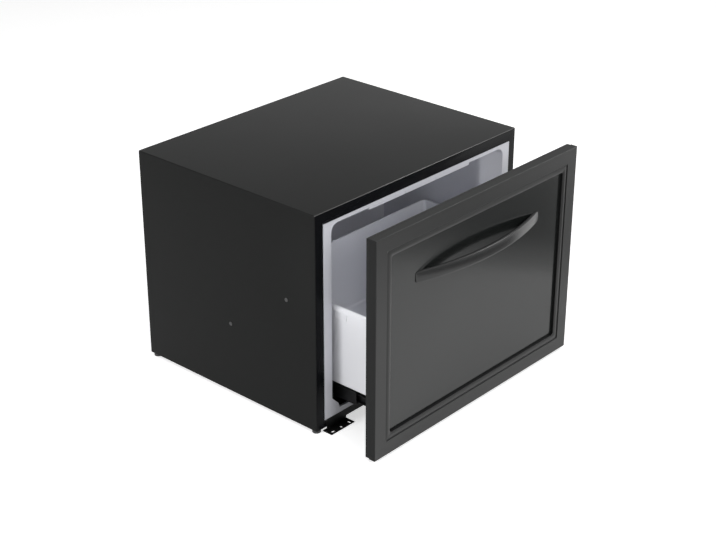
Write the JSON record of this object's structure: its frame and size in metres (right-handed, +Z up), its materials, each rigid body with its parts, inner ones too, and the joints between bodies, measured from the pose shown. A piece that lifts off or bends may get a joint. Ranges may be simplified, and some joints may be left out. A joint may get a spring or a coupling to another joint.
{
  "type": "drawer minibar fridge",
  "caption": "Low black drawer fridge for hotel furniture: insulated drawer front with a bow handle, a white bin on ball slides and a rear machine compartment.",
  "frame": {"origin": "on the floor, midway between the two round holes of the fixing brackets in front of the cabinet", "axes": "+X to the right as seen from the front, +Y from the drawer front to the back, +Z up"},
  "size_m": [0.556, 0.6027, 0.422],
  "materials": {
    "black_steel": "fine-textured semi-matt black powder coat",
    "black_lacquer": "semi-gloss black",
    "handle_black": "satin black",
    "carriage_black": "satin black",
    "liner_grey": "smooth light grey vacuum-formed sheet",
    "white_plastic": "smooth white moulding",
    "frosted": "frosted clear plastic",
    "board_white": "white solder mask",
    "grey_plastic": "matt grey",
    "black_plastic": "matt black moulding",
    "foam": "rigid foam",
    "gasket_rubber": "soft black",
    "zinc_steel": "bright zinc plate",
    "aluminium": "mill finish",
    "pump_black": "gloss black enamel",
    "copper": "dull copper"
  },
  "bodies": {
    "cabinet": {"back_panel": "black_steel", "base_panel": "black_steel", "bracket_screws": "zinc_steel", "capillary_tube": "copper", "compressor_bolts": "zinc_steel", "compressor_grommets": "gasket_rubber", "compressor_shell": "pump_black", "condensate_tray": "black_plastic", "condenser_clips": "black_plastic", "condenser_tube": "pump_black", "condenser_wires": "pump_black", "control_housing": "liner_grey", "discharge_pipe": "copper", "drain_tube": "grey_plastic", "drip_channel": "grey_plastic", "evaporator_plate": "aluminium", "evaporator_tube": "aluminium", "feet": "black_plastic", "filter_drier": "copper", "fixing_bracket_left": "black_steel", "fixing_bracket_right": "black_steel", "insulation": "foam", "led_board": "board_white", "light_lens": "frosted", "liner": "liner_grey", "liner_screws": "zinc_steel", "outer_rail_left": "carriage_black", "outer_rail_right": "carriage_black", "outer_shell": "black_steel", "power_inlet": "black_plastic", "rear_screws": "zinc_steel", "rear_wall": "zinc_steel", "reed_switch": "black_plastic", "relay_cover": "black_plastic", "runner_bracket_left": "carriage_black", "runner_bracket_right": "carriage_black", "side_plugs": "black_plastic", "suction_pipe": "copper", "thermostat_body": "grey_plastic"},
    "drawer": {"door_frame": "black_lacquer", "door_panel": "black_lacquer", "door_tray": "black_steel", "door_back": "white_plastic", "door_foam": "foam", "door_gasket": "gasket_rubber", "switch_magnet": "black_plastic", "handle": "handle_black", "handle_screws": "zinc_steel", "bin": "white_plastic", "carriage": "carriage_black", "carriage_screws": "zinc_steel", "inner_rail_left": "carriage_black", "inner_rail_right": "carriage_black"},
    "thermostat_dial": {"thermostat_dial": "grey_plastic"},
    "ball_cage_outer_left": {"ball_cage_outer_left": "zinc_steel"},
    "middle_rail_left": {"middle_rail_left": "carriage_black"},
    "ball_cage_inner_left": {"ball_cage_inner_left": "zinc_steel"},
    "ball_cage_outer_right": {"ball_cage_outer_right": "zinc_steel"},
    "middle_rail_right": {"middle_rail_right": "carriage_black"},
    "ball_cage_inner_right": {"ball_cage_inner_right": "zinc_steel"}
  },
  "joints": [
    {"name": "drawer_slide", "type": "slide", "parent": "cabinet", "child": "drawer", "axis": [0, -1, 0], "range_m": [-0.106, 0.144]},
    {"name": "ball_cage_outer_left_slide", "type": "slide", "parent": "cabinet", "child": "ball_cage_outer_left", "axis": [0, -1, 0], "range_m": [-0.0265, 0.036]},
    {"name": "middle_rail_left_slide", "type": "slide", "parent": "cabinet", "child": "middle_rail_left", "axis": [0, -1, 0], "range_m": [-0.053, 0.072]},
    {"name": "ball_cage_inner_left_slide", "type": "slide", "parent": "cabinet", "child": "ball_cage_inner_left", "axis": [0, -1, 0], "range_m": [-0.0795, 0.108]},
    {"name": "ball_cage_outer_right_slide", "type": "slide", "parent": "cabinet", "child": "ball_cage_outer_right", "axis": [0, -1, 0], "range_m": [-0.0265, 0.036]},
    {"name": "middle_rail_right_slide", "type": "slide", "parent": "cabinet", "child": "middle_rail_right", "axis": [0, -1, 0], "range_m": [-0.053, 0.072]},
    {"name": "ball_cage_inner_right_slide", "type": "slide", "parent": "cabinet", "child": "ball_cage_inner_right", "axis": [0, -1, 0], "range_m": [-0.0795, 0.108]},
    {"name": "dial_turn", "type": "hinge", "parent": "cabinet", "child": "thermostat_dial", "pos_m": [0.095, 0.069, 0.3675], "axis": [0, 0, -1], "range_deg": [0, 270]}
  ],
  "couplings": [
    {"joint": "ball_cage_outer_left_slide", "follows": "drawer_slide", "ratio": 0.25},
    {"joint": "middle_rail_left_slide", "follows": "drawer_slide", "ratio": 0.5},
    {"joint": "ball_cage_inner_left_slide", "follows": "drawer_slide", "ratio": 0.75},
    {"joint": "ball_cage_outer_right_slide", "follows": "drawer_slide", "ratio": 0.25},
    {"joint": "middle_rail_right_slide", "follows": "drawer_slide", "ratio": 0.5},
    {"joint": "ball_cage_inner_right_slide", "follows": "drawer_slide", "ratio": 0.75}
  ]
}
